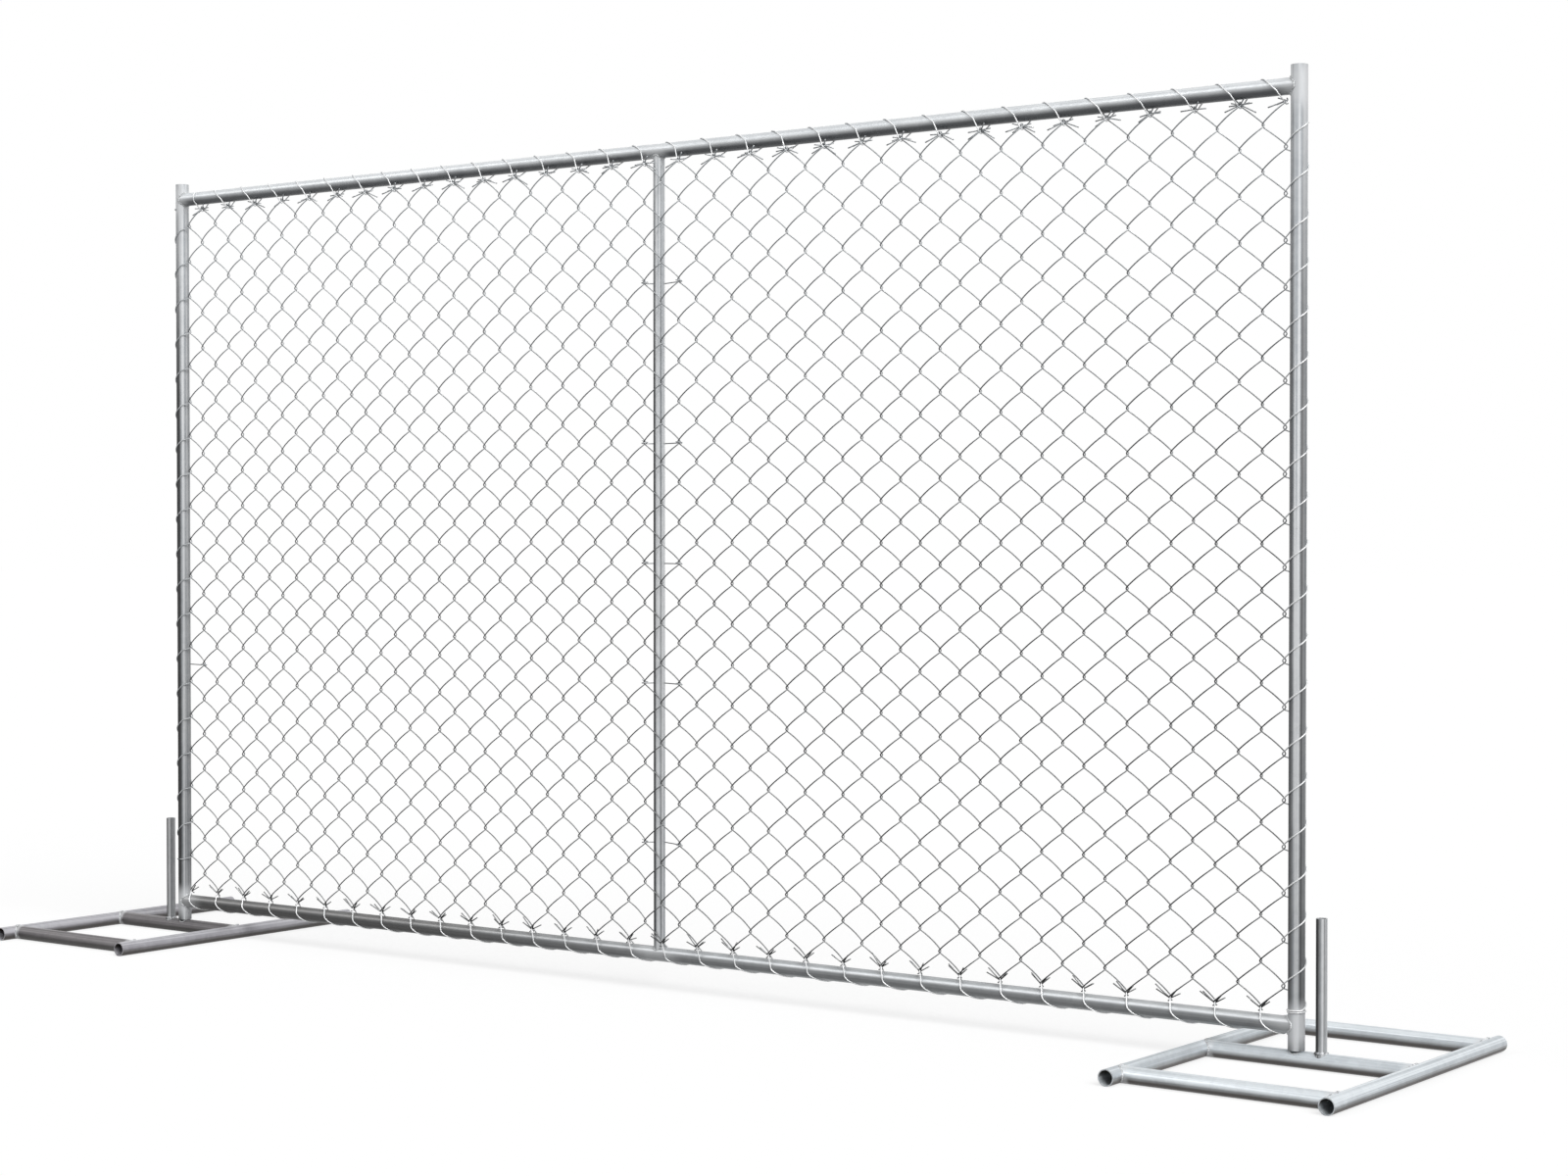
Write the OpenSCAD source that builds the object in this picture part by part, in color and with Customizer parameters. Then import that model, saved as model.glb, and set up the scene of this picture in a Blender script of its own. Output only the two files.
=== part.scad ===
// Temporary fence panel: a welded tube frame filled with chain link, standing on two loose tube stands.
// Millimetres. +X runs along the panel, -Y is the face that carries the bulge of the fabric, +Z is up.
// The origin lies on the ground, under the middle of the panel.

/* [Panel frame] */
// Distance between the axes of the two posts
post_spacing = 3048; // [2000:1:3600]
// Length of each post
post_length = 1829; // [1000:1:2400]
// Outside diameter of the posts
post_d = 32; // [31:0.5:48]
// Wall of the posts
post_wall = 1.6; // [1:0.1:2]
// Outside diameter of the top and bottom rails
rail_d = 32; // [24:0.5:48]
// Wall of the rails
rail_wall = 1.6; // [1:0.1:3]
// Height of the bottom rail's axis above the foot of the posts
bottom_rail_rise = 46; // [36:1:120]
// Depth of the top rail's axis below the top of the posts
top_rail_drop = 38; // [26:1:120]
// Outside diameter of the centre brace
brace_d = 25; // [16:0.5:32]
// Wall of the centre brace
brace_wall = 1.5; // [1:0.1:3]

/* [Chain link] */
// Width of a diamond, which the panel's width rounds to fit
diamond_w = 95; // [70:1:140]
// Height of a diamond, which the panel's height rounds to fit
diamond_h = 87; // [70:1:140]
// Diameter of the fabric's wire
wire_d = 2.7; // [2:0.1:4]
// Distance from the tubes to the edge of the fabric
selvage_gap = 10; // [8:0.5:30]
// How far a bend reaches past the line on which it meets its neighbour
hook_lap = 2.2; // [1:0.1:4]
// Clearance between neighbouring wires where they pass each other
wire_gap = 0.4; // [0.3:0.05:1]
// Half the thickness of the fabric, out to the bowed strands of its spirals
fabric_half_depth = 7.8; // [6:0.1:10]
// Clearance between the strands and the centre brace
brace_clearance = 0.5; // [0.3:0.1:3]
// Length of the cut barbs along the top and bottom edges
barb_length = 20; // [8:0.5:26]
// Angle of the barbs from the rail
barb_angle = 25; // [15:1:30]

/* [Lacing and ties] */
// Diameter of the lacing wire
lacing_d = 2.7; // [2:0.1:4]
// Clearance between the lacing wire and the tube inside it
lacing_clearance = 0.4; // [0.3:0.1:2]
// How far the lacing reaches past the edge of the fabric
lacing_reach = 10; // [9:0.5:14]
// Diameter of the tie wires on the centre brace
tie_d = 2.4; // [1.6:0.1:3.2]
// Clearance between a tie and what it holds
tie_clearance = 0.4; // [0.3:0.1:1.5]

/* [Stands] */
// Outside diameter of the stand tubes
stand_d = 32; // [26:0.5:48]
// Wall of the stand tubes
stand_wall = 2; // [1.2:0.1:4]
// Length of the runners, which lie square to the panel
runner_length = 750; // [500:1:1100]
// Distance between the axes of the two runners of a stand
runner_spacing = 433; // [300:1:700]
// Distance from a runner's end to the axis of the end bar
end_bar_inset = 49; // [30:1:120]
// Outside diameter of the pegs
peg_d = 21.3; // [16:0.1:24]
// Wall of the pegs
peg_wall = 2.6; // [1.5:0.1:4]
// Height of the pegs above the middle bar
peg_height = 250; // [120:1:320]
// Distance between the two pegs of a stand
peg_spacing = 51; // [46:1:90]

/* [Fits and welds] */
// Clearance under the posts and the panel pegs, and round the foot of the panel pegs
seat_gap = 0.3; // [0.2:0.05:1]
// Clearance between welded pieces
weld_gap = 0.1; // [0.05:0.05:0.3]
// Leg of the weld beads
weld_leg = 3; // [2:0.1:4]

/* [Hidden] */
$fn = 64;

// Sides and places, as signs along X or Y
LEFT = -1;
RIGHT = 1;
INNER = -1;
OUTER = 1;
FRONT = -1;
MIDDLE = 0;
REAR = 1;
// Cutting solids pass this far beyond what they cut
over = 1;

// Heights and places of the frame
post_x = post_spacing / 2;
post_bore_r = post_d / 2 - post_wall;
post_foot_z = stand_d + seat_gap;
post_top_z = post_foot_z + post_length;
bottom_rail_z = post_foot_z + bottom_rail_rise;
top_rail_z = post_top_z - top_rail_drop;

// Grid of the fabric: columns of bends across, rows of bends up
mesh_w = post_spacing - post_d - 2 * selvage_gap;
mesh_h = top_rail_z - bottom_rail_z - rail_d - 2 * selvage_gap;
mesh_left_x = -mesh_w / 2;
mesh_foot_z = bottom_rail_z + rail_d / 2 + selvage_gap;
wire_count = round(2 * mesh_w / diamond_w);
row_count = round(2 * mesh_h / diamond_h);
column_pitch = mesh_w / wire_count;
row_pitch = mesh_h / row_count;
fold_column = ceil(wire_count / 2);
strand_angle = atan2(row_pitch, column_pitch);
// Each wire leans, so that its right-hand bends pass in front of its neighbour's left-hand bends
wire_lean = asin((wire_d + wire_gap) / column_pitch);
// Half the width of a bend across the strand, measured along the panel
bend_half_w = wire_d / 2 / sin(strand_angle);
mesh_half_depth = (column_pitch / 2 + hook_lap + bend_half_w) * tan(wire_lean) + wire_d / 2;
// The fabric bulges forward so that its strands pass in front of the brace
mesh_bulge = brace_d / 2 + max(mesh_half_depth, fabric_half_depth) + brace_clearance;
fold_x = column_x(fold_column);

// Rows that carry a tie to the brace, counted up from the bottom edge
tie_rows = [5, 13, 19, 25, 33];
tie_round = 280;
arc_step = 20;

// Lacing wires: rings per turn and sides of the wire
turn_rings = 8;
lacing_sides = 5;
// How soon a lacing wire leaves the fabric's plane: sooner at the rear, where it passes the brace
front_sharpness = 3.5;
rear_sharpness = 6;

// Stands
stand_r = stand_d / 2;
stand_offset = peg_spacing / 2;
peg_r = peg_d / 2;
peg_bead_r = min(peg_r + weld_leg, post_bore_r - 2 * seat_gap);
peg_bead_depth = 12;

// Place of a column of bends along the panel
function column_x(column) = mesh_left_x + column * column_pitch;

// Height of a row of bends
function row_z(row) = mesh_foot_z + row * row_pitch;

// How far in front of the frame's middle plane the fabric lies
function mesh_y(x) =
  x < fold_x
    ? -mesh_bulge * (x - mesh_left_x) / (fold_x - mesh_left_x)
    : -mesh_bulge * (mesh_w / 2 - x) / (mesh_w / 2 - fold_x);

// Turn of the fabric's plane about Z on either side of the fold
function bay_angle(wire) =
  wire < fold_column
    ? -atan2(mesh_bulge, fold_x - mesh_left_x)
    : atan2(mesh_bulge, mesh_w / 2 - fold_x);

function unit(v) = v / norm(v);

// Whether a wire's bend in this row is on its left-hand side
function bends_left(wire, row) = (wire + row) % 2 == 0;

// Barb of a wire at its first or last row: it runs on past the bend, back over the fabric
function barb(wire, row, rise) =
  let (
    side = bends_left(wire, row) ? -1 : 1,
    column = bends_left(wire, row) ? wire : wire + 1
  )
  column == 0 || column == wire_count
    ? []
    : [[
        side * (column_pitch / 2 + barb_length * cos(barb_angle)),
        row * row_pitch + rise * barb_length * sin(barb_angle)
      ]];

// Middle line of one wire, from its own middle: a zigzag with a barb at either end
function wire_line(wire) =
  concat(
    barb(wire, 0, 1),
    [for (row = [0:row_count])
      let (
        side = bends_left(wire, row) ? -1 : 1,
        lap = row == 0 || row == row_count ? 0 : hook_lap
      )
      [side * (column_pitch / 2 + lap), row * row_pitch]
    ],
    barb(wire, row_count, -1)
  );

// Line moved sideways by a distance, with mitred corners
function offset_line(line, distance) =
  let (
    last = len(line) - 1,
    normals = [for (i = [0:last - 1])
      let (d = unit(line[i + 1] - line[i])) [-d.y, d.x]
    ]
  )
  [for (i = [0:last])
    let (
      before = normals[max(i - 1, 0)],
      after = normals[min(i, last - 1)]
    )
    line[i] + distance * (before + after) / (1 + before * after)
  ];

function reversed(list) = [for (i = [len(list) - 1:-1:0]) list[i]];

// How much of the way a lacing wire is from the tube to its nose over the fabric's edge
function nose_share(turn, sharpness) = pow((1 + cos(turn)) / 2, sharpness);

// Middle line of a lacing wire that winds once round the tube for each bend it catches.
// start is on the tube's axis at the first bend, along runs with the tube, inward points from the tube to
// the fabric and forward to the front. hand is 1 where the wire comes to the front after each bend.
function lacing_line(start, along, inward, forward, pitch, turns, tube_r, hand) =
  let (
    round_r = (tube_r + lacing_clearance + lacing_d / 2) / cos(180 / turn_rings),
    reach = tube_r + selvage_gap + lacing_reach
  )
  [for (i = [0:turns * turn_rings])
    let (
      turn = (i / turn_rings - 0.5) * 360,
      centre = start + along * pitch * turn / 360,
      bulge = abs(along.x) * -mesh_y(centre.x),
      radius = round_r + (reach - round_r) * nose_share(turn, 3),
      sharpness = hand * sin(turn) < 0 ? rear_sharpness : front_sharpness
    )
    centre
      + radius * cos(turn) * inward
      + (hand * radius * sin(turn) + bulge * nose_share(turn, sharpness)) * forward
  ];

// Least gap between the turns of a lacing wire, measured between points half a turn or more apart
function least_gap(line) =
  min([for (i = [0:len(line) - 1])
    for (j = [i + turn_rings / 2:min(i + 2 * turn_rings, len(line) - 1)])
      norm(line[i] - line[j]) - lacing_d
  ]);

// Unbroken round wire along a middle line
module swept_wire(line, d, sides) {
  last = len(line) - 1;
  rings = [for (i = [0:last])
    let (
      ahead = unit(line[min(i + 1, last)] - line[max(i - 1, 0)]),
      guide = line[min(i + 1, last)] + line[max(i - 1, 0)] - 2 * line[i]
        + line[min(i + 2, last)] + line[max(i - 2, 0)] - 2 * line[i],
      across = unit(guide - (guide * ahead) * ahead),
      up = cross(ahead, across)
    )
    for (k = [0:sides - 1])
      line[i] + d / 2 * (cos(360 * k / sides) * across + sin(360 * k / sides) * up)
  ];
  skin = [for (i = [0:last - 1])
    for (k = [0:sides - 1])
      let (
        a = i * sides + k,
        b = i * sides + (k + 1) % sides
      )
      each [[a, a + sides, b], [b, a + sides, b + sides]]
  ];
  first_cap = [for (k = [1:sides - 2]) [0, k, k + 1]];
  last_cap = [for (k = [1:sides - 2]) [last * sides, last * sides + k + 1, last * sides + k]];
  polyhedron(points = rings, faces = concat(skin, first_cap, last_cap));
}

// Upright tube standing on z = 0
module tube(d, wall, length) {
  difference() {
    cylinder(d = d, h = length);
    translate([0, 0, -over])
      cylinder(d = d - 2 * wall, h = length + 2 * over);
  }
}

// Tube along X between two upright tubes, its ends shaped to fit round them
module coped_tube(d, wall, span, end_d) {
  difference() {
    translate([-span / 2, 0, 0])
      rotate([0, 90, 0])
        tube(d, wall, span);
    for (side = [-1, 1])
      translate([side * span / 2, 0, 0])
        cylinder(d = end_d + 2 * weld_gap, h = d + end_d, center = true);
  }
}

// Bead round the end of a tube along +X that meets an upright tube on the Z axis.
// The half bead is the one on the +Y side, where the other side has to lie flat on the ground.
module coped_bead(main_d, branch_d, half = false) {
  reach = main_d / 2 + weld_leg;
  main_fit = main_d / 2 + 4 * weld_gap;
  branch_fit = branch_d / 2 + weld_gap;
  difference() {
    intersection() {
      cylinder(r = reach, h = branch_d + 4 * weld_leg, center = true);
      rotate([0, 90, 0])
        cylinder(r = branch_d / 2 + weld_leg * 0.7, h = reach + over);
    }
    cylinder(r = main_fit, h = branch_d + 6 * weld_leg, center = true);
    translate([-over, 0, 0])
      rotate([0, 90, 0])
        cylinder(r = branch_fit, h = reach + 3 * over);
    if (half)
      translate([-over, -branch_d, -branch_d])
        cube([reach + 3 * over, branch_d, 2 * branch_d]);
  }
}

module post(side) {
  color("silver")
    translate([side * post_x, 0, post_foot_z])
      tube(post_d, post_wall, post_length);
}

module rail(height) {
  color("silver")
    translate([0, 0, height])
      coped_tube(rail_d, rail_wall, post_spacing, post_d);
}

module centre_brace() {
  span = top_rail_z - bottom_rail_z;
  color("silver")
    translate([0, 0, (top_rail_z + bottom_rail_z) / 2])
      rotate([0, 90, 0])
        coped_tube(brace_d, brace_wall, span, rail_d);
}

// Square wire along a line in the level plane
module flat_wire(d, line) {
  linear_extrude(height = d, center = true)
    polygon(concat(offset_line(line, d / 2), reversed(offset_line(line, -d / 2))));
}

// One wire of the fabric at its place
module mesh_wire(wire) {
  middle_x = column_x(wire + 0.5);
  translate([middle_x, mesh_y(middle_x), mesh_foot_z])
    rotate([0, 0, bay_angle(wire) - wire_lean])
      rotate([90, 0, 0])
        flat_wire(wire_d, wire_line(wire));
}

module mesh_bay(first, last) {
  color("gainsboro")
    for (wire = [first:last])
      mesh_wire(wire);
}

module lacing(name, line) {
  echo(str("least gap of the ", name, " lacing to itself, mm: "), least_gap(line));
  color("gainsboro")
    swept_wire(line, lacing_d, lacing_sides);
}

// Bends that the lacing catches: every second column or row, clear of the corners
first_bottom_column = 2;
first_top_column = row_count % 2 == 0 ? 2 : 1;
first_left_row = 2;
first_right_row = wire_count % 2 == 0 ? 2 : 1;

function turns_between(first, count) = floor((count - 1 - first) / 2) + 1;

module top_lacing() {
  lacing("top", lacing_line(
    [column_x(first_top_column), 0, top_rail_z], [1, 0, 0], [0, 0, -1], [0, -1, 0],
    2 * column_pitch, turns_between(first_top_column, wire_count - 1), rail_d / 2, -1
  ));
}

module bottom_lacing() {
  lacing("bottom", lacing_line(
    [column_x(first_bottom_column), 0, bottom_rail_z], [1, 0, 0], [0, 0, 1], [0, -1, 0],
    2 * column_pitch, turns_between(first_bottom_column, wire_count), rail_d / 2, 1
  ));
}

module left_lacing() {
  lacing("left", lacing_line(
    [-post_x, 0, row_z(first_left_row)], [0, 0, 1], [1, 0, 0], [0, -1, 0],
    2 * row_pitch, turns_between(first_left_row, row_count), post_d / 2, -1
  ));
}

module right_lacing() {
  lacing("right", lacing_line(
    [post_x, 0, row_z(first_right_row)], [0, 0, 1], [-1, 0, 0], [0, -1, 0],
    2 * row_pitch, turns_between(first_right_row, row_count - 1), post_d / 2, 1
  ));
}

// Angle of the line that touches two circles on their rear sides, as the direction of its normal
function tangent_angle(c1, r1, c2, r2) =
  let (d = c2 - c1) atan2(d.y, d.x) + acos((r1 - r2) / norm(d));

// Points of an arc that turns clockwise, far enough out for its flats to keep the radius
function arc_line(centre, r, from, to) =
  let (steps = ceil((from - to) / arc_step - 0.001))
  [for (i = [0:steps])
    let (angle = from + (to - from) * i / steps)
    centre + r / cos(arc_step / 2) * [cos(angle), sin(angle)]
  ];

// One tie: an eye round the bends on either side of the brace, and the wire behind the brace between them
module brace_tie() {
  eye_r = norm([hook_lap + bend_half_w, mesh_half_depth]) + tie_clearance + tie_d / 2;
  round_r = brace_d / 2 + tie_clearance + tie_d / 2;
  left_x = column_x(fold_column - 1);
  right_x = column_x(fold_column + 1);
  left_eye = [left_x, mesh_y(left_x)];
  right_eye = [right_x, mesh_y(right_x)];
  middle = [0, 0];
  left_angle = tangent_angle(left_eye, eye_r, middle, round_r);
  right_angle = tangent_angle(middle, round_r, right_eye, eye_r);
  flat_wire(tie_d, concat(
    arc_line(left_eye, eye_r, left_angle + tie_round, left_angle),
    arc_line(middle, round_r, left_angle, right_angle),
    arc_line(right_eye, eye_r, right_angle, right_angle - tie_round)
  ));
}

module brace_ties() {
  color("gainsboro")
    for (row = tie_rows)
      if (row < row_count - 1)
        translate([0, 0, row_z(row + (fold_column + row + 1) % 2)])
          brace_tie();
}

// Beads of the two rails on one post
module post_welds(side) {
  color("whitesmoke")
    for (height = [bottom_rail_z, top_rail_z])
      translate([side * post_x, 0, height])
        rotate([0, 0, side == LEFT ? 0 : 180])
          coped_bead(post_d, rail_d);
}

// Beads of the brace on the two rails
module brace_welds() {
  color("whitesmoke")
    for (end = [-1, 1])
      translate([0, 0, end < 0 ? bottom_rail_z : top_rail_z])
        rotate([0, end * 90, 0])
          coped_bead(rail_d, brace_d);
}

// Middle of a stand, half way between its pegs
function stand_x(side) = side * (post_x + stand_offset);

module runner(side, place) {
  color("silver")
    translate([stand_x(side) + side * place * runner_spacing / 2, -runner_length / 2, stand_r])
      rotate([-90, 0, 0])
        tube(stand_d, stand_wall, runner_length);
}

function bar_y(place) = place * (runner_length / 2 - end_bar_inset);

module cross_bar(side, place) {
  color("silver")
    translate([stand_x(side), bar_y(place), stand_r])
      rotate([90, 0, 0])
        coped_tube(stand_d, stand_wall, runner_spacing, stand_d);
}

// Solid of the middle bar, for cutting what is welded on it
module middle_bar_cut() {
  translate([-runner_spacing / 2, 0, stand_r])
    rotate([0, 90, 0])
      cylinder(r = stand_r + weld_gap, h = runner_spacing);
}

// Bead round the foot of a peg, on the middle bar; inner_r is its bore
module peg_bead(inner_r) {
  difference() {
    rotate_extrude()
      polygon([
        [inner_r, stand_d - peg_bead_depth],
        [peg_bead_r, stand_d - peg_bead_depth],
        [peg_bead_r, stand_d],
        [max(peg_r, inner_r), stand_d + weld_leg],
        [inner_r, stand_d + weld_leg]
      ]);
    middle_bar_cut();
  }
}

// Peg inside the panel's post
module panel_peg(side) {
  color("silver")
    translate([side * post_x, 0, stand_d + seat_gap])
      tube(peg_d, peg_wall, peg_height);
}

// Free peg for the next panel, with the weld at its foot
module spare_peg(side) {
  color("silver")
    translate([side * (post_x + peg_spacing), 0, 0]) {
      translate([0, 0, stand_d + weld_gap])
        tube(peg_d, peg_wall, peg_height);
      peg_bead(peg_r - peg_wall / 2);
    }
}

module stand_welds(side) {
  color("whitesmoke") {
    for (place = [FRONT, MIDDLE, REAR])
      for (end = [-1, 1])
        translate([stand_x(side) + end * runner_spacing / 2, bar_y(place), stand_r])
          rotate([90, 0, end < 0 ? 0 : 180])
            coped_bead(stand_d, stand_d, half = true);
    translate([side * post_x, 0, 0])
      peg_bead(peg_r + seat_gap);
  }
}

post(LEFT);  // left_post
post(RIGHT);  // right_post
rail(top_rail_z);  // top_rail
rail(bottom_rail_z);  // bottom_rail
centre_brace();
mesh_bay(0, fold_column - 1);  // left_mesh_bay
mesh_bay(fold_column, wire_count - 1);  // right_mesh_bay
top_lacing();
bottom_lacing();
left_lacing();
right_lacing();
brace_ties();
post_welds(LEFT);  // left_post_welds
post_welds(RIGHT);  // right_post_welds
brace_welds();
runner(LEFT, INNER);  // left_inner_runner
runner(LEFT, OUTER);  // left_outer_runner
cross_bar(LEFT, FRONT);  // left_front_bar
cross_bar(LEFT, MIDDLE);  // left_middle_bar
cross_bar(LEFT, REAR);  // left_rear_bar
panel_peg(LEFT);  // left_panel_peg
spare_peg(LEFT);  // left_spare_peg
stand_welds(LEFT);  // left_stand_welds
runner(RIGHT, INNER);  // right_inner_runner
runner(RIGHT, OUTER);  // right_outer_runner
cross_bar(RIGHT, FRONT);  // right_front_bar
cross_bar(RIGHT, MIDDLE);  // right_middle_bar
cross_bar(RIGHT, REAR);  // right_rear_bar
panel_peg(RIGHT);  // right_panel_peg
spare_peg(RIGHT);  // right_spare_peg
stand_welds(RIGHT);  // right_stand_welds
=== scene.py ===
"""Temporary fence panel: its looks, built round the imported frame.

A welded tube frame filled with chain link stands in two loose tube stands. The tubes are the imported
solids with a galvanised finish. The fabric, the lacing and tie wires and the weld beads are modelled
here, each in place of its plain solid. All lengths are metres in the frame's own axes: X runs along
the panel, -Y is the front and Z is up.
"""

import logging
import math
from dataclasses import dataclass
from enum import Enum
from functools import partial
from typing import Any, Callable, Iterable, Sequence

import bmesh
import bpy
from mathutils import Matrix, Vector, noise


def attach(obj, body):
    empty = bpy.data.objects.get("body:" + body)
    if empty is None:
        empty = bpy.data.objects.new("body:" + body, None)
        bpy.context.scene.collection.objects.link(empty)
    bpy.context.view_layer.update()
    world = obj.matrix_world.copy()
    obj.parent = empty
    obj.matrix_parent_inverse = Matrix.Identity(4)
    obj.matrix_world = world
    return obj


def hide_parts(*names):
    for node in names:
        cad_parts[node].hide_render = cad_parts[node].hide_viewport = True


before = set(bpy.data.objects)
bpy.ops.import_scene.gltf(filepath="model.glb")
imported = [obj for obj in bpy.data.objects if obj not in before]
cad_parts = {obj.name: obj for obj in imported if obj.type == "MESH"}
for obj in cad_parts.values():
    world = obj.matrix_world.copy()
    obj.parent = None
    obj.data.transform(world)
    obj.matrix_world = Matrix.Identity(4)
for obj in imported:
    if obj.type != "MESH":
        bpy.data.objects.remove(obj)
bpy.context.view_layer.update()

LOG = logging.getLogger("fence_panel")
MM = 0.001
FULL_TURN = 2 * math.pi
WELD_DISTANCE = 0.01 * MM
# Without a seed, Blender's noise vectors differ from run to run
NOISE_SEED = 7
WHITE = (1.0, 1.0, 1.0, 1.0)
ORIGIN = (0.0, 0.0, 0.0)
# The panel's two ends, and the sign of X there
SIDES = (("left", -1), ("right", 1))
# Sides of the section of the lacing and tie wires
WIRE_SIDES = 8

# How much noise breaks up the edge between two sides of a piece, and the edges of bands, in cosines
SIDE_NOISE = 0.24
BAND_NOISE = 0.12

# Settings of nodes. A mix of colours has its share on input 0, the colours on 6 and 7, and output 2
COLOURS = {"data_type": "RGBA"}
MULTIPLY = {"data_type": "RGBA", "blend_type": "MULTIPLY"}
SMOOTH = {"interpolation_type": "SMOOTHSTEP"}
SCALED_SUM = {"operation": "MULTIPLY_ADD"}
LARGER = {"operation": "MAXIMUM"}
FROM = ("From Min", "From Max")
TO = ("To Min", "To Max")

Colour = tuple[float, float, float, float]
Point = tuple[float, float, float]
Span = tuple[float, float]
# Centre in plan, radius, first and last angle, and the heights at which it begins and ends
PlanArc = tuple[Vector, float, float, float, float, float]
Socket = bpy.types.NodeSocket
# The function add_node with its tree filled in
Add = Callable[..., Socket]
Mesh = bpy.types.Mesh
BMesh = bmesh.types.BMesh


# Finishes


def linear(code: str) -> Colour:
    """Turns an sRGB hex colour into Blender's linear values, with an alpha of 1."""
    shares = [int(code[i : i + 2], 16) / 255 for i in (1, 3, 5)]
    red, green, blue = (s / 12.92 if s <= 0.04045 else ((s + 0.055) / 1.055) ** 2.4 for s in shares)
    return red, green, blue, 1.0


def grey(tone: float) -> Colour:
    """Returns a grey of a linear tone."""
    return tone, tone, tone, 1.0


def add_node(
    tree: bpy.types.NodeTree,
    kind: str,
    inputs: dict[Any, Any] | None = None,
    settings: dict[str, Any] | None = None,
    output: str | int = 0,
) -> Socket | None:
    """Adds one shader node, sets it up and links it.

    Args:
        tree: The node tree that gets it.
        kind: Blender's name of the node's type, without the ShaderNode at its start.
        inputs: Its inputs, by name, number or pair of names: a value, a hex colour or the output
            that feeds it, or a pair of these.
        settings: Properties of the node, by name.
        output: The output that is wanted, by name or number.

    Returns:
        That output, or None from a node that has none.
    """
    made = tree.nodes.new("ShaderNode" + kind)
    for name, value in (settings or {}).items():
        setattr(made, name, value)
    for keys, values in (inputs or {}).items():
        for key, value in zip(keys, values) if isinstance(keys, tuple) else ((keys, values),):
            if isinstance(value, Socket):
                tree.links.new(value, made.inputs[key])
            else:
                made.inputs[key].default_value = linear(value) if isinstance(value, str) else value
    return made.outputs[output] if len(made.outputs) else None


def leaning(add: Add, towards: Point, ragged: Socket, share: float) -> Socket:
    """Finds the cosine between a face and a direction, on the piece's own axes.

    Args:
        add: Adds a node to the material.
        towards: The direction, of length 1.
        ragged: Noise round 0.5 that breaks up edges.
        share: How much of the noise is added.

    Returns:
        The cosine, on average too large by half that share.
    """
    normal = add("TexCoord", output="Normal")
    looks = add("VectorMath", {0: normal, 1: towards}, {"operation": "DOT_PRODUCT"}, "Value")
    return add("Math", {0: ragged, 1: share, 2: looks}, SCALED_SUM)


def facing(add: Add, towards: Point, span: Span, ragged: Socket) -> Socket:
    """Finds how far a face looks a given way, from 0 to 1 over a span of cosines."""
    low, high = (at + SIDE_NOISE / 2 for at in span)
    looks = leaning(add, towards, ragged, SIDE_NOISE)
    return add("MapRange", {"Value": looks, FROM: (low, high)}, SMOOTH)


class Axis(Enum):
    """Axis of the frame, such as the one along which a tube was drawn and its streaks run."""

    X = 0
    Y = 1
    Z = 2


class Finish:
    """A surface finish, which becomes a material when it is first used."""

    name: str

    def surface(self, add: Add) -> Socket:
        """Builds the shader with the function that adds a node, and returns its output."""
        raise NotImplementedError

    def material(self) -> bpy.types.Material:
        """Returns the finish's material, made on the first call."""
        found = bpy.data.materials.get(self.name)
        if found:
            return found
        made = bpy.data.materials.new(self.name)
        made.use_nodes = True
        made.node_tree.nodes.clear()
        add = partial(add_node, made.node_tree)
        add("OutputMaterial", {"Surface": self.surface(add)})
        return made


class Zinc(Finish):
    """Zinc on steel, of uneven roughness and with a fine relief."""

    metallic: float
    roughness: float
    rough_spread: Span
    relief: float
    relief_depth: float

    def roughened(self, add: Add, bright: Socket) -> Socket:
        """Finds the roughness, which goes with the share of bright zinc."""
        low, high = (self.roughness + more for more in self.rough_spread)
        return add("MapRange", {"Value": bright, TO: (low, high)})

    def metal(self, add: Add, colour: Socket, rough: Socket, height: Socket) -> Socket:
        """Joins colour, roughness and the height of the relief in one shader."""
        relief = {"Strength": self.relief, "Distance": self.relief_depth, "Height": height}
        looks = {"Base Color": colour, "Metallic": self.metallic, "Roughness": rough}
        return add("BsdfPrincipled", {**looks, "Normal": add("Bump", relief)})


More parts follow.
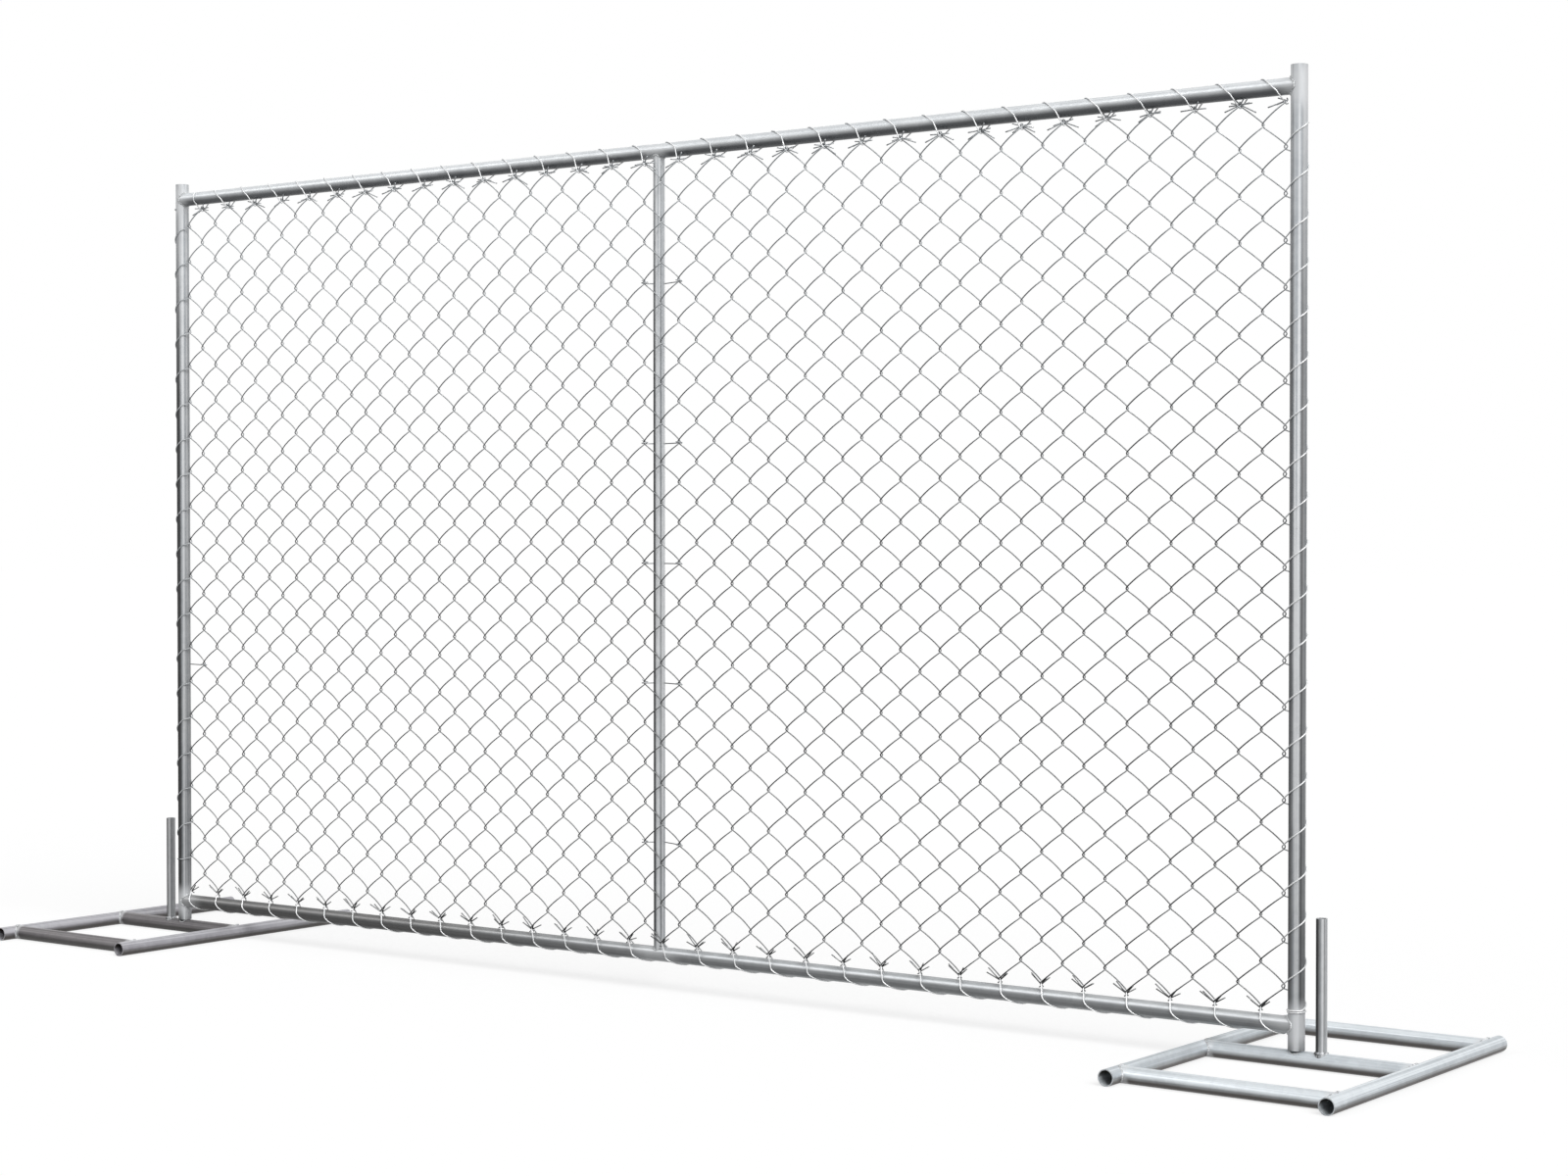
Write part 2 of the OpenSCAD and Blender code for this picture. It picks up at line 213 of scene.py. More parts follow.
@dataclass(frozen=True)
class GalvanisedTube(Zinc):
    """Hot-dip galvanised steel tube: wiped zinc with draw streaks, faint spangle, and painted shade on some,
    painted reflection bands on others.
    """

    name: str
    axis: Axis
    # Zinc grey that is a little blue: wiped bright along some streaks, oxidised duller along others
    fresh: str
    dull: str
    # Painted shade: faces turned from the lit side are darker
    shade: str = "#525457"
    lit_side: Point = (0.0, 0.0, 1.0)
    lit_span: Span = (-0.55, 0.3)
    # Uprights and the bottom rail have painted reflections instead: bands from side to side, as place and
    # tone. The dark bands are made rougher. Round the back the tone is even
    bands: tuple[Span, ...] = ()
    across: Point = (1.0, 0.0, 0.0)
    dark_band_roughness: float = 0.85
    back_tone: float = 0.72
    front_span: Span = (-0.42, -0.08)
    # The painted bands dim towards the ground and fade to white towards the top
    ground_tone: float = 0.62
    dimmed_span: Span = (0.25, 1.3)
    fade_span: Span = (1.3, 1.85)
    fade_share: float = 0.6
    # Zinc spray over the heat of the welds is paler: places along the tube, and its edge in reaches
    spray: str = "#DCDEE0"
    spray_at: tuple[float, ...] = ()
    spray_reach: float = 42 * MM
    spray_edge: Span = (0.8, 1.9)
    spray_share: float = 0.5
    # Streaks of the draw and the wipe
    streak_width: float = 5 * MM
    streak_length: float = 1.6
    streak_span: Span = (0.41, 0.59)
    streak_share: float = 0.9
    # Crystals of the zinc and clouds of oxide, and what they add to the streaks
    spangle: float = 11 * MM
    spangle_share: float = 0.16
    cloud: float = 90 * MM
    cloud_share: float = 0.55
    bright_span: Span = (0.3, 1.4)
    # Scuffs and pinholes show dark steel: real ones are under 1 mm, drawn coarser so that they show
    speck: str = "#3B3A39"
    speck_spacing: float = 46 * MM
    speck_radius: float = 1.3 * MM
    speck_core: float = 0.4
    specks: float = 0.45
    # Darker towards the left end: the tint, where it begins and is full along X, and how much
    aged: str = "#86827F"
    leftward_darkening_span: Span = (0.4, -1.5)
    aged_share: float = 0.0
    metallic: float = 0.4
    # Dull zinc is rougher than this, bright zinc smoother
    roughness: float = 0.34
    rough_spread: Span = (0.14, -0.06)
    # Grains of the zinc and its streaks stand a few hundredths of a millimetre proud
    grain: float = 2.2 * MM
    streak_relief: float = 2.0
    relief: float = 0.15
    relief_depth: float = 0.1 * MM

    def spray_mask(self, add: Add, place: Socket, ragged: Socket) -> Socket | None:
        """Finds where the zinc spray lies.

        Args:
            add: Adds a node to the material.
            place: The place on the piece.
            ragged: Noise that breaks up the spray's edge.

        Returns:
            A share from 0 to 1, or None where nothing is sprayed.
        """
        along = add("SeparateXYZ", {0: place}, output=self.axis.value)
        low, high = (share * self.spray_reach for share in self.spray_edge)
        edge = {FROM: (low, high), TO: (self.spray_share, 0.0)}
        total = None
        for at in self.spray_at:
            far = add("Math", {0: along, 1: at}, {"operation": "SUBTRACT"})
            far = add("Math", {0: far}, {"operation": "ABSOLUTE"})
            far = add("Math", {0: ragged, 1: self.spray_reach, 2: far}, SCALED_SUM)
            near = add("MapRange", {"Value": far, **edge}, SMOOTH)
            total = near if total is None else add("Math", {0: total, 1: near}, LARGER)
        return total

    def banded(self, add: Add, place: Socket, ragged: Socket) -> Socket:
        """Finds the tone of the painted reflection bands along the tube.

        Args:
            add: Adds a node to the material.
            place: The place on the piece.
            ragged: Noise round 0.5 that breaks up the bands' edges.

        Returns:
            A grey that the zinc's colour is multiplied by.
        """
        looks = leaning(add, self.across, ragged, BAND_NOISE)
        ends = (BAND_NOISE / 2 - 1, BAND_NOISE / 2 + 1)
        ramp = add("ValToRGB", {0: add("MapRange", {"Value": looks, FROM: ends})})
        stops = ramp.node.color_ramp.elements
        # A new ramp has two stops
        for number, (at, tone) in enumerate(self.bands):
            stop = stops[number] if number < 2 else stops.new(at)
            stop.position, stop.color = at, grey(tone)
        axis = Vector([float(one is self.axis) for one in Axis])
        front = facing(add, Vector(self.across).cross(axis), self.front_span, ragged)
        tone = add("Mix", {0: front, 6: grey(self.back_tone), 7: ramp}, COLOURS, 2)
        z = add("SeparateXYZ", {0: place}, output=Axis.Z.value)
        height_tone = add("MapRange", {"Value": z, FROM: self.dimmed_span, TO: (self.ground_tone, 1.0)})
        tone = add("Mix", {0: 1.0, 6: tone, 7: height_tone}, MULTIPLY, 2)
        fade = add("MapRange", {"Value": z, FROM: self.fade_span, TO: (0.0, self.fade_share)}, SMOOTH)
        return add("Mix", {0: fade, 6: tone, 7: WHITE}, COLOURS, 2)

    def surface(self, add: Add) -> Socket:
        """Builds the zinc shader and returns its output."""
        place = add("TexCoord", output="Object")
        drawn = [1 / self.streak_width] * 3
        drawn[self.axis.value] = 1 / self.streak_length
        along = add("Mapping", {"Vector": place, "Scale": drawn})
        streak = add("TexNoise", {"Vector": along, "Scale": 1.0, "Detail": 2.0, "Roughness": 0.55})
        cloud = add("TexNoise", {"Vector": place, "Scale": 1 / self.cloud, "Detail": 5.0, "Roughness": 0.6})
        crystal = add("TexVoronoi", {"Vector": place, "Scale": 1 / self.spangle}, output="Color")
        shine = add("SeparateColor", {0: crystal})
        # How bright the zinc still is: streaks first, then clouds and the faint spangle
        wiped = (1 - self.streak_share, 1.0)
        bright = add("MapRange", {"Value": streak, FROM: self.streak_span, TO: wiped}, SMOOTH)
        bright = add("Math", {0: cloud, 1: self.cloud_share, 2: bright}, SCALED_SUM)
        bright = add("Math", {0: shine, 1: self.spangle_share, 2: bright}, SCALED_SUM)
        bright = add("MapRange", {"Value": bright, FROM: self.bright_span})
        colour = add("Mix", {0: bright, 6: self.dull, 7: self.fresh}, COLOURS, 2)
        rough = self.roughened(add, bright)
        if self.bands:
            # Painted reflections, in bands across the tube
            tone = self.banded(add, place, cloud)
            colour = add("Mix", {0: 1.0, 6: colour, 7: tone}, MULTIPLY, 2)
            rough = add("Mix", {0: tone, 2: self.dark_band_roughness, 3: rough})
        else:
            # Painted shade on the faces turned from the lit side
            lit = facing(add, self.lit_side, self.lit_span, cloud)
            colour = add("Mix", {0: lit, 6: self.shade, 7: colour}, COLOURS, 2)
        # Darker towards the left end
        if self.aged_share:
            x = add("SeparateXYZ", {0: place}, output=Axis.X.value)
            aged = add("MapRange", {"Value": x, FROM: self.leftward_darkening_span, TO: (0.0, self.aged_share)}, SMOOTH)
            colour = add("Mix", {0: aged, 6: colour, 7: self.aged}, MULTIPLY, 2)
        spray = self.spray_mask(add, place, cloud)
        if spray is not None:
            colour = add("Mix", {0: spray, 6: colour, 7: self.spray}, COLOURS, 2)
        far = add("TexVoronoi", {"Vector": place, "Scale": 1 / self.speck_spacing}, output="Distance")
        rim = self.speck_radius / self.speck_spacing
        dark = {FROM: (self.speck_core * rim, rim), TO: (self.specks, 0.0)}
        speck = add("MapRange", {"Value": far, **dark}, SMOOTH)
        colour = add("Mix", {0: speck, 6: colour, 7: self.speck}, COLOURS, 2)
        grain = add("TexNoise", {"Vector": place, "Scale": 1 / self.grain, "Detail": 2.0})
        height = add("Math", {0: streak, 1: self.streak_relief, 2: grain}, SCALED_SUM)
        return self.metal(add, colour, rough, height)


@dataclass(frozen=True)
class GalvanisedWire(Zinc):
    """Galvanised steel wire: smooth zinc, bright or dull, with wipe marks along it and painted shade."""

    name: str
    # Wiped zinc is an even grey; patches of it have dulled
    bright: str = "#E6E9EB"
    dull: str = "#BCC0C3"
    bright_span: Span = (0.48, 0.9)
    # Painted shade: the faces turned from the lit side are dark
    shade: str = "#232628"
    lit_side: Point = (0.62, -0.2, 0.76)
    lit_span: Span = (0.18, 0.62)
    # Higher up the painted shade is paler; lower down every side can be darker
    high_shade: str = "#8A8E91"
    low_tone: str = "#FFFFFF"
    low_span: Span = (1.75, 0.9)
    # Patches on a wire are a few centimetres long, and its wipe marks 1 to 2 mm
    patch: float = 38 * MM
    wipe: float = 1.6 * MM
    wipe_share: float = 0.35
    metallic: float = 0.3
    # Dull zinc is rougher than this, bright zinc smoother
    roughness: float = 0.36
    rough_spread: Span = (0.12, -0.06)
    relief: float = 0.3
    relief_depth: float = 0.08 * MM

    def surface(self, add: Add) -> Socket:
        """Builds the wire's shader and returns its output."""
        place = add("TexCoord", output="Object")
        patch = add("TexNoise", {"Vector": place, "Scale": 1 / self.patch, "Detail": 4.0, "Roughness": 0.6})
        wipe = add("TexNoise", {"Vector": place, "Scale": 1 / self.wipe, "Detail": 2.0})
        tone = add("Math", {0: wipe, 1: self.wipe_share, 2: patch}, SCALED_SUM)
        tone = add("MapRange", {"Value": tone, FROM: self.bright_span}, SMOOTH)
        colour = add("Mix", {0: tone, 6: self.dull, 7: self.bright}, COLOURS, 2)
        # Painted shade, paler higher up; lower down every side is darker
        z = add("SeparateXYZ", {0: place}, output=Axis.Z.value)
        low = add("MapRange", {"Value": z, FROM: self.low_span})
        painted_shade = add("Mix", {0: low, 6: self.high_shade, 7: self.shade}, COLOURS, 2)
        lit = facing(add, self.lit_side, self.lit_span, patch)
        colour = add("Mix", {0: lit, 6: painted_shade, 7: colour}, COLOURS, 2)
        colour = add("Mix", {0: low, 6: colour, 7: self.low_tone}, MULTIPLY, 2)
        return self.metal(add, colour, self.roughened(add, tone), wipe)


@dataclass(frozen=True)
class SprayedWeld(Zinc):
    """Arc-welded steel bead under cold zinc spray: pale, grainy and matt, grey in its hollows."""

    name: str
    # The spray is almost white where it is thick, and shows darker steel where it is thin
    thick: str = "#D9DBDC"
    thin: str = "#8C8E90"
    patch: float = 6 * MM
    thick_span: Span = (0.32, 0.6)
    grit: float = 0.9 * MM
    metallic: float = 0.35
    # Thin spray is smoother than this, thick spray rougher
    roughness: float = 0.55
    rough_spread: Span = (-0.12, 0.08)
    relief: float = 0.5
    relief_depth: float = 0.25 * MM

    def surface(self, add: Add) -> Socket:
        """Builds the bead's shader and returns its output."""
        place = add("TexCoord", output="Object")
        patch = add("TexNoise", {"Vector": place, "Scale": 1 / self.patch, "Detail": 4.0, "Roughness": 0.65})
        cover = add("MapRange", {"Value": patch, FROM: self.thick_span}, SMOOTH)
        colour = add("Mix", {0: cover, 6: self.thin, 7: self.thick}, COLOURS, 2)
        grit = add("TexNoise", {"Vector": place, "Scale": 1 / self.grit, "Detail": 2.0})
        return self.metal(add, colour, self.roughened(add, cover), grit)


# Sizes and helpers


@dataclass(frozen=True)
class PanelSizes:
    """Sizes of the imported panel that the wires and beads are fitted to."""

    post_x: float = 1.524
    tube_r: float = 16 * MM
    brace_r: float = 12.5 * MM
    bottom_rail_z: float = 78.3 * MM
    top_rail_z: float = 1823.3 * MM
    fabric_half_w: float = 1.498
    fabric_foot_z: float = 104.3 * MM
    fabric_head_z: float = 1797.3 * MM
    wire_count: int = 63
    row_count: int = 39
    fold_column: int = 32
    fabric_bulge: float = 20.8 * MM

    @property
    def rails_z(self) -> Span:
        """Heights of the bottom rail and the top rail."""
        return self.bottom_rail_z, self.top_rail_z

    @property
    def column_pitch(self) -> float:
        """Distance between neighbouring columns of bends."""
        return 2 * self.fabric_half_w / self.wire_count

    @property
    def row_pitch(self) -> float:
        """Distance between neighbouring rows of bends."""
        return (self.fabric_head_z - self.fabric_foot_z) / self.row_count

    def column_x(self, column: float) -> float:
        """Returns the place of a column of bends along the panel."""
        return column * self.column_pitch - self.fabric_half_w

    def row_z(self, row: float) -> float:
        """Returns the height of a row of bends."""
        return self.fabric_foot_z + row * self.row_pitch

    def fabric_y(self, x: float) -> float:
        """Finds the fabric's middle plane, which passes in front of the brace, at a place along X."""
        fold = self.column_x(self.fold_column)
        run = self.fabric_half_w + (fold if x < fold else -fold)
        return -self.fabric_bulge * max(0.0, 1 - abs(x - fold) / run)


@dataclass(frozen=True)
class StandSizes:
    """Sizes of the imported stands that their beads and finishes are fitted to."""

    middle_x: float = 1.5495
    half_width: float = 216.5 * MM
    bar_y: tuple[float, ...] = (-326 * MM, 0.0, 326 * MM)
    peg_r: float = 10.65 * MM
    peg_gap: float = 51 * MM


SIZES = PanelSizes()
STAND = StandSizes()


def placed(name: str, data: bpy.types.ID) -> bpy.types.Object:
    """Puts a new object at the origin of the scene."""
    made = bpy.data.objects.new(name, data)
    bpy.context.scene.collection.objects.link(made)
    return made


def hand_over(mesh: Mesh, name: str, body: str, slot: str, stands_for: str, finish: Finish) -> None:
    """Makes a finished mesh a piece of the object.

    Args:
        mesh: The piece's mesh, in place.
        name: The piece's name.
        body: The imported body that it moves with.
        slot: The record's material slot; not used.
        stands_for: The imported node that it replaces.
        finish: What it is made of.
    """
    mesh.name = name
    mesh.materials.clear()
    mesh.materials.append(finish.material())
    mesh.polygons.foreach_set("use_smooth", [True] * len(mesh.polygons))
    piece = placed(name, mesh)
    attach(piece, body)
    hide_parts(stands_for)
    LOG.info("%s: %d faces, on %s", name, len(mesh.polygons), body)


def as_mesh(bm: BMesh, name: str) -> Mesh:
    """Turns a bmesh into a mesh of the given name and frees it."""
    mesh = bpy.data.meshes.new(name)
    bm.to_mesh(mesh)
    bm.free()
    return mesh


def closed_mesh(bm: BMesh) -> Mesh:
    """Merges a shape's seams, closes its ends, points its faces outwards and makes it a mesh."""
    bmesh.ops.remove_doubles(bm, verts=bm.verts, dist=WELD_DISTANCE)
    bmesh.ops.holes_fill(bm, edges=[e for e in bm.edges if e.is_boundary])
    bmesh.ops.recalc_face_normals(bm, faces=bm.faces)
    return as_mesh(bm, "shape")


def wire_mesh(paths: Iterable[Sequence[Vector]], radius: float) -> Mesh:
    """Draws round wires along their middle lines.

    Args:
        paths: The middle line of each wire.
        radius: Radius of the wire.

    Returns:
        One mesh of all the wires, with closed ends.
    """
    curve = bpy.data.curves.new("wire", "CURVE")
    curve.dimensions = "3D"
    curve.bevel_depth = radius
    # A section has four sides, and two more for each step of this
    curve.bevel_resolution = (WIRE_SIDES - 4) // 2
    curve.use_fill_caps = True
    for path in paths:
        spline = curve.splines.new("POLY")
        spline.points.add(len(path) - 1)
        for point, place in zip(spline.points, path):
            point.co = (*place, 1.0)
    carrier = placed("wire", curve)
    seen = carrier.evaluated_get(bpy.context.evaluated_depsgraph_get())
    mesh = bpy.data.meshes.new_from_object(seen)
    bpy.data.objects.remove(carrier)
    bpy.data.curves.remove(curve)
    return mesh


def shaped(items: Iterable[Any]) -> tuple[list[bmesh.types.BMVert], list[bmesh.types.BMEdge]]:
    """Sorts an operator's result into its vertices and its edges."""
    items = list(items)
    return (
        [i for i in items if isinstance(i, bmesh.types.BMVert)],
        [i for i in items if isinstance(i, bmesh.types.BMEdge)],
    )


def turned(
    bm: BMesh, verts: Sequence[Any], angle: float, axis: str, about: Sequence[float] = ORIGIN
) -> None:
    """Turns vertices by an angle round an axis through a point."""
    bmesh.ops.rotate(bm, verts=verts, cent=about, matrix=Matrix.Rotation(angle, 3, axis))


def edges_at(verts: Iterable[Any]) -> list[bmesh.types.BMEdge]:
    """Lists the edges that end at some vertices, each of them once."""
    return list(dict.fromkeys(e for v in verts for e in v.link_edges))


def extruded(bm: BMesh, edges: Sequence[Any]) -> tuple[list[Any], list[Any], list[Any]]:
    """Extrudes a ring of edges on the spot; returns all that is new, and the new ring's parts."""
    grown = bmesh.ops.extrude_edge_only(bm, edges=edges)["geom"]
    verts, edges = shaped(grown)
    return grown, verts, [e for e in edges if all(v in verts for v in e.verts)]


# Chain link


@dataclass
class Fabric:
    """Chain link: flat spirals of wire, each hooked through the next, with barbed edges."""

    wire_r: float = 1.35 * MM
    # Radius of a bend in plan, and how far a bend reaches past the column's line
    bend_r: float = 5.4 * MM
    hook: float = 1.5 * MM
    # The strands leave their bends at this angle to the fabric and bow out between them
    flare: float = math.radians(20)
    # Where the fabric is drawn onto the brace, the bow of its back strands is pressed in
    press: float = 0.36
    press_over: float = 55 * MM
    # Fabric that was stretched by hand isn't quite even, but its edges are held
    unevenness: float = 1.3 * MM
    uneven_over: float = 0.19
    even_edge: float = 0.12
    # Cut ends round a knuckle of the top edge, where they are pressed down, and of the bottom edge:
    # direction in degrees from +X towards +Z, length and side in millimetres
    top_tails: tuple[Point, ...] = (
        (205, 33, -6), (190, 26, 5), (172, 19, -3), (-26, 31, 6),
        (-10, 27, -5), (6, 20, 3), (146, 14, 4), (52, 16, -4),
    )
    foot_tails: tuple[Point, ...] = ((135, 32, -7), (143, 28, -3), (44, 25, -6), (34, 21, 5))
    # How much the cut ends differ from knuckle to knuckle: degrees, share of length, millimetres
    barb_turn: float = 24.0
    barb_cut: float = 0.3
    barb_side: float = 9.0
    barb_lost: float = 0.04
    # Steps of that noise for a column and for a cut end, and its plane
    barb_noise: Point = (1.7, 3.1, 0.5)
    barb_parts: tuple[float, ...] = (0.35, 0.4, 0.25)
    sides: int = 6
    bend_steps: int = 5
    strand_steps: int = 5

    @property
    def bend_x(self) -> float:
        """Middle of a left-hand bend, from the wire's own axis."""
        return self.bend_r - self.hook - SIZES.column_pitch / 2

    @property
    def strand_x(self) -> float:
        """End of a left-hand bend and start of its strand, from the wire's own axis."""
        return self.bend_x - self.bend_r * math.sin(self.flare)

    @property
    def climb(self) -> float:
        """Rise of the wire for each length that it runs in plan."""
        bend = (math.pi - 2 * self.flare) * self.bend_r
        return SIZES.row_pitch / (bend - 2 * self.strand_x)

    def half_turn(self, bm: BMesh) -> tuple[list[Any], list[Any]]:
        """Models one left-hand bend and the front strand that runs up from it.

        Args:
            bm: The bmesh that gets them, with the wire's axis on Z and the bend at z = 0.

        Returns:
            The geometry of the bend, and the geometry of the strand.
        """
        sweep = math.pi - 2 * self.flare
        rise = self.climb * sweep * self.bend_r
        centre = (self.bend_x, 0, 0)
        ring = bmesh.ops.create_circle(bm, segments=self.sides, radius=self.wire_r)["verts"]
        turned(bm, ring, math.atan(self.climb) - math.pi / 2, "Y")
        bmesh.ops.translate(bm, verts=ring, vec=(self.bend_x, self.bend_r, -rise / 2))
        turned(bm, ring, self.flare, "Z", centre)
        spun = bmesh.ops.spin(
            bm,
            geom=ring + list(bm.edges),
            cent=centre,
            axis=(0, 0, 1),
            dvec=(0, 0, rise / self.bend_steps),
            angle=sweep,
            steps=self.bend_steps,
        )
        end_verts, end_edges = shaped(spun["geom_last"])
        bend = bm.verts[:] + bm.edges[:] + bm.faces[:]
        strand = list(bmesh.ops.duplicate(bm, geom=end_verts + end_edges)["geom"])
        edges = shaped(strand)[1]
        step = -2 * self.strand_x / self.strand_steps
        turn = 2 * self.flare / self.strand_steps
        bow = -self.strand_x * math.tan(self.flare) / 2
        for _ in range(self.strand_steps):
            grown, verts, edges = extruded(bm, edges)
            middle = sum((v.co for v in verts), Vector()) / len(verts)
            turned(bm, verts, turn, "Z", middle)
            begin, end = (1 - (x / self.strand_x) ** 2 for x in (middle.x, middle.x + step))
            bmesh.ops.translate(bm, verts=verts, vec=(step, bow * (begin - end), step * self.climb))
            strand += grown
        return bend, strand

    def wire(self) -> Mesh:
        """Stacks half turns into one wire whose lowest bend is on its left.

        Returns:
            The wire on its own axis, with its first bend at z = 0.
        """
        bm = bmesh.new()
        bend, strand = self.half_turn(bm)
        for row in range(1, SIZES.row_count + 1):
            part = bend + strand if row < SIZES.row_count else bend
            copied = shaped(bmesh.ops.duplicate(bm, geom=part)["geom"])[0]
            turned(bm, copied, row * math.pi, "Z")
            bmesh.ops.translate(bm, verts=copied, vec=(0, 0, row * SIZES.row_pitch))
        return closed_mesh(bm)

    def barb(self, bm: BMesh, angle: float, length: float, side: float) -> None:
        """Adds one cut end of wire that sticks out of a knuckle at the origin.

        Args:
            bm: The bmesh that gets it.
            angle: Its direction in the fabric's plane, from +X towards +Z.
            length: Its length.
            side: How far its tip leaves that plane.
        """
        ring = bmesh.ops.create_circle(bm, segments=self.sides, radius=self.wire_r, cap_ends=True)
        whole = list(ring["verts"])
        edges = edges_at(whole)
        turned(bm, whole, math.pi / 2, "Y")
        for share in self.barb_parts:
            _, verts, edges = extruded(bm, edges)
            bmesh.ops.translate(bm, verts=verts, vec=(length * share, side * share, 0))
            whole += verts
        turned(bm, whole, -angle, "Y")

    def barbs(self, top: bool, column: int, corner: int) -> Mesh:
        """Models the cut ends round one knuckle of the top or bottom edge.

        Args:
            top: Whether the knuckle is on the top edge.
            column: The knuckle's column; no two knuckles were cut and bent alike.
            corner: 1 or -1 for only the ends that point right or left, in the fabric's corner.

        Returns:
            The ends, with the knuckle at the origin.
        """
        bm = bmesh.new()
        by_column, by_end, plane = self.barb_noise
        for number, (degrees, length, side) in enumerate(self.top_tails if top else self.foot_tails):
            stray = noise.noise_vector(Vector((by_column * column, by_end * number, plane)))
            lost = top and stray.x * stray.y > self.barb_lost
            if corner * math.cos(math.radians(degrees)) >= 0 and not lost:
                self.barb(
                    bm,
                    math.radians(degrees + self.barb_turn * stray.x),
                    length * MM * (1 + self.barb_cut * stray.y),
                    (side + self.barb_side * stray.z) * MM,
                )
        return closed_mesh(bm)

    def lie(self, at: Vector) -> Vector:
        """Lays a point of the flat fabric into its place on the frame.

        Args:
            at: The point in a flat, even fabric.

        Returns:
            The point in front of the brace, moved a little by the fabric's unevenness.
        """
        inside = min(
            SIZES.fabric_half_w - abs(at.x), at.z - SIZES.fabric_foot_z, SIZES.fabric_head_z - at.z
        )
        stray = noise.noise_vector(Vector((at.x, 0, at.z)) / self.uneven_over)
        drift = stray * self.unevenness * max(0.0, min(1.0, inside / self.even_edge))
        pressed = self.press * max(0.0, 1 - (at.x / self.press_over) ** 2) if at.y > 0 else 0.0
        y = at.y * (1 - pressed) + SIZES.fabric_y(at.x)
        return Vector((at.x + drift.x, y, at.z + drift.z))

    def bay(self, first: int, last: int) -> Mesh:
        """Hangs the wires of one bay side by side, with the barbs of their edges.

        Args:
            first: Number of the bay's first wire.
            last: Number of its last wire.

        Returns:
            The bay in its place on the frame.
        """
        bm = bmesh.new()
        wire = self.wire()
        start = 0

        def hang(mesh: Mesh, turn: float, place: Point) -> None:
            """Adds a copy of a mesh, turned about Z and moved to its place."""
            nonlocal start
            bm.from_mesh(mesh)
            bm.verts.ensure_lookup_table()
            fresh = bm.verts[start:]
            start = len(bm.verts)
            turned(bm, fresh, turn, "Z")
            bmesh.ops.translate(bm, verts=fresh, vec=place)

        for number in range(first, last + 1):
            place = (SIZES.column_x(number + 0.5), 0, SIZES.fabric_foot_z)
            hang(wire, math.pi * (number % 2), place)
        # The cut ends stand where neighbouring wires meet on an edge, and in two of the corners
        for column in range(first, last + 1 + (last == SIZES.wire_count - 1)):
            top = column % 2 == 1
            corner = {0: 1, SIZES.wire_count: -1}.get(column, 0)
            z = SIZES.fabric_head_z if top else SIZES.fabric_foot_z
            ends = self.barbs(top, column, corner)
            hang(ends, 0.0, (SIZES.column_x(column), 0, z))
            bpy.data.meshes.remove(ends)
        for vert in bm.verts:
            vert.co = self.lie(vert.co)
        bpy.data.meshes.remove(wire)
        return as_mesh(bm, "bay")

    def build(self, finish: Finish) -> None:
        """Makes the two bays and hands them over in the given finish."""
        fold = SIZES.fold_column
        for side, first, last in (("left", 0, fold - 1), ("right", fold, SIZES.wire_count - 1)):
            bay = self.bay(first, last)
            hand_over(bay, f"fabric_{side}_bay", "panel", "fabric_wire", f"{side}_mesh_bay", finish)


# Lacing and ties


def winding(
    centre: Vector, r: float, angles: Span, runs: Span, points: int, ease: float = 1.0
) -> list[Vector]:
    """Follows an arc that also runs along the axis that it goes round.

    Args:
        centre: Its centre across that axis.
        r: Its radius.
        angles: Where it begins and ends.
        runs: Its first and last place along the axis.
        points: How many points it has.
        ease: Power of the share of the run that is made at a share of the angle.

    Returns:
        The points: across the axis in X and Y, and along it in Z.
    """
    made = []
    for i in range(points):
        share = i / (points - 1)
        angle = angles[0] + (angles[1] - angles[0]) * share
        flat = centre + r * Vector((math.cos(angle), math.sin(angle)))
        made.append(Vector((*flat, runs[0] + (runs[1] - runs[0]) * share**ease)))
    return made


